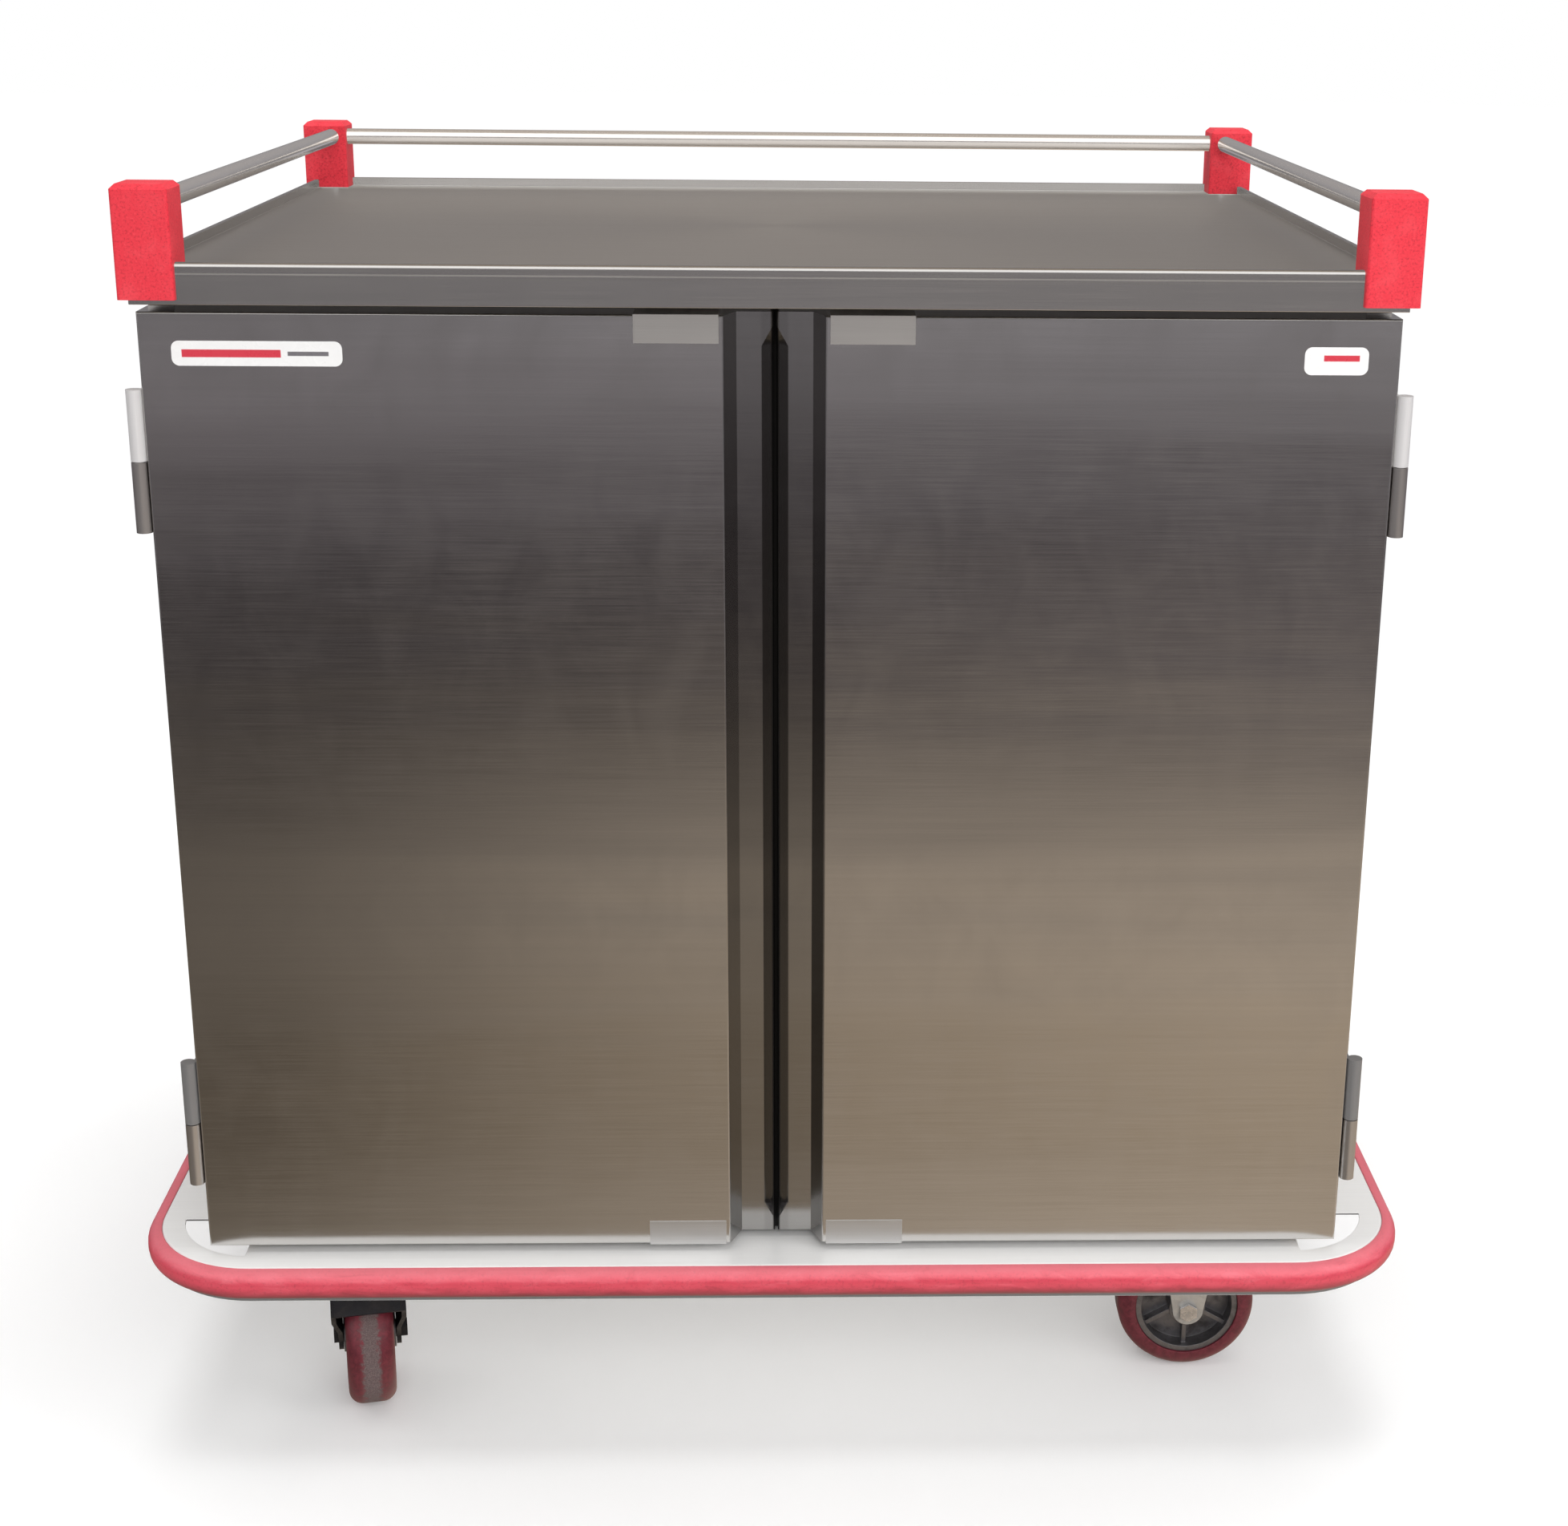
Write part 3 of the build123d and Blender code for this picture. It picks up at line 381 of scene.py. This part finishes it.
def printed_bar(g, node, left, right, middle, half_height):
    """Where one bar is printed on a badge. left, right and middle are shares of the plate's size."""
    low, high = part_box(node)
    width = high.x - low.x
    height = high.z - low.z
    half_width = width * (right - left) / 2
    across = g.distance("X", low.x + width * (left + right) / 2)
    up = g.distance("Z", low.z + height * middle)
    soft = 0.0003
    inside_x = g.remap(across, half_width - soft, half_width + soft, 1.0, 0.0, True)
    inside_z = g.remap(up, half_height - soft, half_height + soft, 1.0, 0.0, True)
    return g.math("MULTIPLY", inside_x, inside_z)


BADGE_RED = (0.62, 0.035, 0.060)
BADGE_GREY = (0.16, 0.15, 0.16)
# Badge, left end, right end and middle height as shares of the plate, half height, and ink.
BADGE_BARS = (
    ("left_badge", 0.06, 0.64, 0.50, 0.0036, BADGE_RED),
    ("left_badge", 0.68, 0.92, 0.50, 0.0020, BADGE_GREY),
    ("right_badge", 0.30, 0.86, 0.60, 0.0028, BADGE_RED),
)


def badge(name, white):
    """A glossy white plate with plain printed bars: two on the left badge and one on the right."""
    g = Graph(name)
    patch = g.even_noise(60, 3.0, 0.6, 0.4)
    colour = g.mix(g.remap(patch, 0.4, 0.8, 0.0, 0.25, True), white, shade(white, 0.85))
    for *bar, ink in BADGE_BARS:
        colour = g.mix(printed_bar(g, *bar), colour, ink)
    g.principled(Base_Color=colour, Roughness=g.remap(patch, 0.3, 0.7, 0.24, 0.34), Coat_Weight=0.5,
                 Coat_Roughness=0.12, Normal=g.bump(patch, 0.05, 0.0005))
    return g.material


# ---------------------------------------------------------------- which piece has which material

STEEL = (0.60, 0.588, 0.575)
INSIDE_STEEL = (0.62, 0.61, 0.60)
DECK = (0.96, 0.955, 0.945)
RAIL = (0.86, 0.825, 0.79)
STRIKE = (0.66, 0.655, 0.65)
HINGE = (0.62, 0.605, 0.60)
# Painted reflection: a lighter colour for the door hinges that stands in for the room they reflect.
HINGE_PAINTED_REFLECTION = (0.80, 0.785, 0.785)
VINYL_TONES = ((0.66, 0.050, 0.085), (0.36, 0.020, 0.038), (0.76, 0.130, 0.170))
BLOCK_TONES = ((0.72, 0.026, 0.046), (0.42, 0.012, 0.024), (0.85, 0.100, 0.120))

MATERIALS = {
    "stainless": brushed("stainless_level_grain", X_AXIS, STEEL, 0.145, wave=0.35),
    "interior_steel": brushed("interior_sheet", X_AXIS, INSIDE_STEEL, 0.36, 0.7, 0.8),
    "deck_steel": brushed("deck_sheet", X_AXIS, DECK, 0.36, 0.6, 0.4, metallic=0.12, finish_and_shade=painted_shade_upright_faces),
    "track_aluminium": cast("track_aluminium", (0.70, 0.70, 0.71), 0.38, flake=220),
    "bumper_vinyl": vinyl("bumper_vinyl", *VINYL_TONES),
    "block_plastic": speckled_plastic("block_plastic", *BLOCK_TONES, 0.50),
    "rail_steel": brushed("rail_tube", X_AXIS, RAIL, 0.16, 0.4, 0.6, metallic=0.85),
    "strike_steel": brushed("strike_plate", X_AXIS, STRIKE, 0.40, 0.8, 0.6),
    "catch_plastic": plain_plastic("catch_plastic", (0.028, 0.028, 0.030), 0.45),
    "hinge_steel": brushed("hinge_steel", Z_AXIS, HINGE, 0.32, 0.8, 0.6),
    "fastener_steel": cast("fastener_plate", (0.66, 0.66, 0.67), 0.20, flake=400, grime=0.25),
    "zinc_steel": cast("zinc_plate", (0.52, 0.51, 0.49), 0.36, metallic=0.7, flake=130, grime=0.40),
    # Painted shade: these forks are zinc plated like the right ones, painted near black for the shade they stand
    # in under the deck.
    "black_steel": cast("painted_shade_fork_zinc", (0.022, 0.021, 0.024), 0.42, metallic=0.6, flake=300, grime=0.3),
    "core_aluminium": cast("wheel_casting", (0.25, 0.245, 0.255), 0.46, flake=240, grime=0.65),
    "bush_bronze": cast("bush_bronze", (0.52, 0.36, 0.19), 0.35, flake=260),
    "badge_white": badge("badge_plate", (0.83, 0.82, 0.81)),
}
SIDE_STEEL = brushed("stainless_side_grain", Y_AXIS, STEEL, 0.16, wave=0.3)
TOP_STEEL = brushed("stainless_worktop", X_AXIS, STEEL, 0.24, smear=0.5, finish_and_shade=satin_worktop)
DOOR_STEEL = brushed("stainless_door", X_AXIS, STEEL, 0.145, wave=0.35, finish_and_shade=door_painted_shade)
POST_STEEL = brushed("interior_post", Z_AXIS, INSIDE_STEEL, 0.36, 0.7, 0.8, finish_and_shade=painted_shade_seam)
# The door hinge leaves carry a painted reflection in their light colour and painted shade on their lower part.
DOOR_HINGE_STEEL = brushed("hinge_steel_painted_reflection", Z_AXIS, HINGE_PAINTED_REFLECTION, 0.34, 0.8, 0.6, metallic=0.45,
                           finish_and_shade=painted_shade_lower_hinges)

# Pieces that look different from the rest of their slot.
SPECIAL = {
    "left_side_panel": SIDE_STEEL,
    "right_side_panel": SIDE_STEEL,
    "worktop": TOP_STEEL,
    "centre_divider": POST_STEEL,
    "front_rails": POST_STEEL,
    "left_door_skin": DOOR_STEEL,
    "right_door_skin": DOOR_STEEL,
    "left_door_hinge_leaves": DOOR_HINGE_STEEL,
    "right_door_hinge_leaves": DOOR_HINGE_STEEL,
}

SWIVEL_WEAR_WIDTH = 0.0085
RIGID_WEAR_WIDTH = 0.0075


def tyre_material(name):
    """Each tyre's worn band follows its own wheel's centre and axle."""
    joint = WHEEL_JOINTS[name.replace("_tyre", "_wheel")]
    wear_width = SWIVEL_WEAR_WIDTH if "left" in name else RIGID_WEAR_WIDTH
    return tread(name + "_urethane", joint["pos_m"], joint["axis"], wear_width)


def material_for(name):
    if SLOT_OF[name] == "tread_urethane":
        return tyre_material(name)
    return SPECIAL.get(name, MATERIALS[SLOT_OF[name]])


# ---------------------------------------------------------------- edges and shading

SMOOTH_ANGLE = math.radians(37)
BEVEL_ANGLE = math.radians(38)
BEVEL_SEGMENTS = 3
WELD_DISTANCE = 0.00001

EDGE_WIDTH = {
    "stainless": 0.0007,
    "deck_steel": 0.0008,
    "block_plastic": 0.0012,
    "bumper_vinyl": 0.0008,
    "zinc_steel": 0.0006,
    "tread_urethane": 0.0010,
    "core_aluminium": 0.0006,
    "hinge_steel": 0.0005,
    "fastener_steel": 0.0005,
    "badge_white": 0.00015,
}
DEFAULT_EDGE = 0.0003
SQUARE_EDGED = ("left_side_panel", "right_side_panel")


def smooth_by_angle_group(limit):
    """A node group that marks edges sharper than the limit as sharp."""
    group = bpy.data.node_groups.new("smooth_by_angle", "GeometryNodeTree")
    group.interface.new_socket("Geometry", in_out="INPUT", socket_type="NodeSocketGeometry")
    group.interface.new_socket("Geometry", in_out="OUTPUT", socket_type="NodeSocketGeometry")
    entry = group.nodes.new("NodeGroupInput")
    leave = group.nodes.new("NodeGroupOutput")
    angle = group.nodes.new("GeometryNodeInputMeshEdgeAngle")
    compare = group.nodes.new("FunctionNodeCompare")
    compare.data_type = "FLOAT"
    compare.operation = "GREATER_THAN"
    compare.inputs[1].default_value = limit
    sharp = group.nodes.new("GeometryNodeSetShadeSmooth")
    sharp.domain = "EDGE"
    sharp.inputs["Shade Smooth"].default_value = False
    group.links.new(entry.outputs[0], sharp.inputs["Geometry"])
    group.links.new(angle.outputs["Unsigned Angle"], compare.inputs[0])
    group.links.new(compare.outputs[0], sharp.inputs["Selection"])
    group.links.new(sharp.outputs[0], leave.inputs[0])
    return group


SMOOTH = smooth_by_angle_group(SMOOTH_ANGLE)


def add_bevel(obj, width):
    bevel = obj.modifiers.new("bevel", "BEVEL")
    bevel.width = width
    bevel.segments = BEVEL_SEGMENTS
    bevel.limit_method = "ANGLE"
    bevel.angle_limit = BEVEL_ANGLE
    bevel.use_clamp_overlap = True


def ease_edges(obj, width):
    """Rounds a piece's sharp edges, unless width is 0, and shades the rest smooth."""
    mesh = obj.data
    if "custom_normal" in mesh.attributes:
        mesh.attributes.remove(mesh.attributes["custom_normal"])
    mesh.shade_smooth()
    weld = obj.modifiers.new("weld", "WELD")
    weld.merge_threshold = WELD_DISTANCE
    if width:
        add_bevel(obj, width)
    smooth = obj.modifiers.new("smooth_by_angle", "NODES")
    smooth.node_group = SMOOTH
    weighted = obj.modifiers.new("weighted", "WEIGHTED_NORMAL")
    weighted.keep_sharp = True
    weighted.weight = 100


def edge_width(name):
    if name in SQUARE_EDGED:
        return 0.0
    return EDGE_WIDTH.get(SLOT_OF[name], DEFAULT_EDGE)


for name, obj in NODES.items():
    ease_edges(obj, edge_width(name))
    obj.data.materials.clear()
    obj.data.materials.append(material_for(name))

# The red pieces are kept out of the steel's reflections.
RED_PIECES = ("bumper_strip", "front_left_block", "front_right_block", "back_left_block", "back_right_block")
for name in RED_PIECES:
    NODES[name].visible_glossy = False

# ---------------------------------------------------------------- what the steel reflects

WARM = (1.28, 1.0, 0.70)
OLIVE = (1.18, 1.0, 0.82)
MAUVE = (1.14, 1.0, 1.07)
COOL = (1.04, 1.0, 1.05)
# Elevation in degrees, light at the left, in the middle and at the right, and tint.
ROOM = (
    (-90, (0.30, 0.42, 0.55), OLIVE),
    (-31, (0.24, 0.40, 0.62), OLIVE),
    (-27, (0.10, 0.22, 0.28), WARM),
    (-24.5, (0.05, 0.24, 0.43), WARM),
    (-21.5, (0.20, 0.44, 0.52), OLIVE),
    (-18.5, (0.07, 0.12, 0.19), OLIVE),
    (-15, (0.04, 0.06, 0.13), MAUVE),
    (-12, (0.02, 0.03, 0.04), MAUVE),
    (-10, (0.26, 0.18, 0.12), MAUVE),
    (-8, (0.31, 0.50, 0.50), COOL),
    (-5, (0.13, 0.13, 0.16), COOL),
    (8, (0.24, 0.24, 0.24), COOL),
    (45, (0.28, 0.28, 0.28), OLIVE),
    (90, (0.31, 0.31, 0.31), OLIVE),
)
# Where the room's left, middle and right columns lie, as the X part of the direction looked in.
ROOM_COLUMNS = (-0.215, -0.06, 0.19)
LAMP_COLOUR = (1.45, 1.43, 1.41)
# The lamp's elevation in degrees: it starts, is full, starts to fade, and ends.
LAMP_ELEVATION = (4, 16, 60, 78)
# The lamp is only in front: it fades out between these Y parts of the direction.
LAMP_FRONT = (-0.20, 0.05)


def elevation_ramp(g, height, side):
    """The room's colours from straight down to straight up, in one of its three columns."""
    ramp = g.add("ShaderNodeValToRGB")
    g.link(height, ramp.inputs[0])
    elements = ramp.color_ramp.elements
    elements.remove(elements[1])
    for index, (degrees, light, tint) in enumerate(ROOM):
        place = 0.5 + 0.5 * math.sin(math.radians(degrees))
        element = elements[0] if index == 0 else elements.new(place)
        element.position = place
        element.color = (*shade(tint, light[side]), 1)
    return ramp.outputs[0]


def lamp_strength(g, direction):
    """How much of the lamp shows in a direction, from 0 to 1."""
    start, full, fade, end = (math.sin(math.radians(degrees)) for degrees in LAMP_ELEVATION)
    rise = g.remap(direction["Z"], start, full, 0.0, 1.0, True)
    fall = g.remap(direction["Z"], fade, end, 1.0, 0.0, True)
    front = g.remap(direction["Y"], *LAMP_FRONT, 1.0, 0.0, True)
    return g.math("MULTIPLY", g.math("MULTIPLY", rise, fall), front)


def room_colour(g):
    """What polished steel sees: a dim room, warmer and lighter low down, with a soft lamp in front."""
    direction = g.split(g.vector("NORMALIZE", g.place()))
    height = g.remap(direction["Z"], -1.0, 1.0, 0.0, 1.0)
    left, middle, right = (elevation_ramp(g, height, side) for side in range(3))
    left_x, middle_x, right_x = ROOM_COLUMNS
    light = g.mix(g.remap(direction["X"], left_x, middle_x, 0.0, 1.0), left, middle)
    light = g.mix(g.remap(direction["X"], middle_x, right_x, 0.0, 1.0), light, right)
    return g.mix(lamp_strength(g, direction), light, LAMP_COLOUR)


# ---------------------------------------------------------------- stage

# The room is so wide that its reflection doesn't shift with the place on the cart.
ROOM_RADIUS = 400.0
BACKDROP_RADIUS = 28.0
FLOOR_SIZE = 60.0
FLOOR_TONES = ((0.93, 0.93, 0.93), (0.95, 0.95, 0.95))
# The floor fades to plain white between these distances from the cart's middle.
FLOOR_FADE = (1.0, 2.6)
FLOOR_GLOW = 0.10


def emission(name, build):
    """A material that only glows, with the colour that build makes."""
    g = Graph(name)
    shader = g.add("ShaderNodeEmission")
    g.put(shader.inputs["Color"], build(g))
    shader.inputs["Strength"].default_value = 1.0
    g.link(shader.outputs[0], g.output.inputs["Surface"])
    return g.material


def seen_only_by(obj, seeing_ray):
    """Hides a stage piece from every kind of ray but one."""
    for ray in ("camera", "diffuse", "glossy", "shadow", "transmission"):
        setattr(obj, "visible_" + ray, ray == seeing_ray)


def glowing_sphere(name, radius, segments, rings, seeing_ray, build):
    """A sphere round the whole stage that glows with the colour that build makes."""
    bpy.ops.mesh.primitive_uv_sphere_add(segments=segments, ring_count=rings, radius=radius)
    sphere = bpy.context.object
    sphere.name = name
    sphere.data.materials.append(emission(name, build))
    seen_only_by(sphere, seeing_ray)
    return sphere


def floor_material():
    """A pale floor that glows faintly near the cart and is plain white further out."""
    g = Graph("stage_floor")
    tone = g.remap(g.even_noise(1.5), 0.3, 0.7, 0.0, 1.0)
    far = g.remap(g.vector("LENGTH", g.place()), *FLOOR_FADE, 0.0, 1.0, True)
    colour = g.mix(far, g.mix(tone, *FLOOR_TONES), BLACK)
    glow = g.math("ADD", far, FLOOR_GLOW, clamp=True)
    g.principled(Base_Color=colour, Roughness=0.9, Specular_IOR_Level=0.1, Emission_Color=WHITE,
                 Emission_Strength=glow)
    return g.material


def lay_floor():
    bpy.ops.mesh.primitive_plane_add(size=FLOOR_SIZE)
    floor = bpy.context.object
    floor.name = "stage_floor"
    floor.data.materials.append(floor_material())
    floor.visible_glossy = False
    return floor


room = glowing_sphere("stage_room", ROOM_RADIUS, 64, 48, "glossy", room_colour)
backdrop = glowing_sphere("stage_backdrop", BACKDROP_RADIUS, 48, 24, "camera", lambda g: (*WHITE, 1))
floor = lay_floor()

# ---------------------------------------------------------------- lights

# Name, place, aim, width and height, and power in watts.
LIGHTS = (
    ("front_soft", (0.9, -4.2, 2.4), (0, -0.4, 0.7), (3.2, 2.2), 88),
    ("right_soft", (3.6, -2.4, 2.4), (0.3, 0, 0.6), (2.0, 2.0), 40),
    ("left_soft", (-3.8, 0.6, 2.2), (-0.3, 0, 0.6), (2.0, 2.0), 22),
    ("back_soft", (0.5, 4.2, 2.4), (0, 0.4, 0.7), (3.0, 2.0), 50),
    ("top_soft", (0, 0.2, 4.2), (0, 0, 1), (3.4, 3.0), 105),
)
WORLD_LIGHT = 0.38


def soft_light(name, place, aim, size, power):
    """A wide soft lamp that isn't seen in reflections."""
    data = bpy.data.lights.new(name, "AREA")
    data.shape = "RECTANGLE"
    data.size, data.size_y = size
    data.energy = power
    light = bpy.data.objects.new(name, data)
    SCENE.collection.objects.link(light)
    light.location = place
    light.rotation_euler = (Vector(aim) - Vector(place)).to_track_quat("-Z", "Y").to_euler()
    light.visible_glossy = False


def light_world():
    """Even white light from all round, left out of reflections."""
    world = bpy.data.worlds.new("stage_world")
    SCENE.world = world
    world.use_nodes = True
    background = world.node_tree.nodes["Background"]
    background.inputs["Color"].default_value = (*WHITE, 1)
    background.inputs["Strength"].default_value = WORLD_LIGHT
    world.cycles_visibility.glossy = False


for light in LIGHTS:
    soft_light(*light)
light_world()

SCENE.view_settings.view_transform = "Standard"
SCENE.view_settings.look = "None"

# ---------------------------------------------------------------- camera

CAMERA_PLACE = Vector((0.0208, -2.7015, 1.5021))
CAMERA_AIM = Vector((0.03105, 0.95363, -0.29937))
CAMERA_ROLL = math.radians(0.6124)
CAMERA_LENS = 55.72
CAMERA_SHIFT_X = -0.0562
CAMERA_SHIFT_Y = -0.0225


def place_camera():
    data = bpy.data.cameras.new("camera")
    camera = bpy.data.objects.new("camera", data)
    SCENE.collection.objects.link(camera)
    data.sensor_width = 36.0
    data.lens = CAMERA_LENS
    data.shift_x = CAMERA_SHIFT_X
    data.shift_y = CAMERA_SHIFT_Y
    back = -CAMERA_AIM.normalized()
    right = Vector((0, 0, 1)).cross(back).normalized()
    up = back.cross(right)
    turn = Matrix((right, up, back)).transposed().to_4x4()
    roll = Matrix.Rotation(CAMERA_ROLL, 4, "Z")
    camera.matrix_world = Matrix.Translation(CAMERA_PLACE) @ turn @ roll
    SCENE.camera = camera


place_camera()
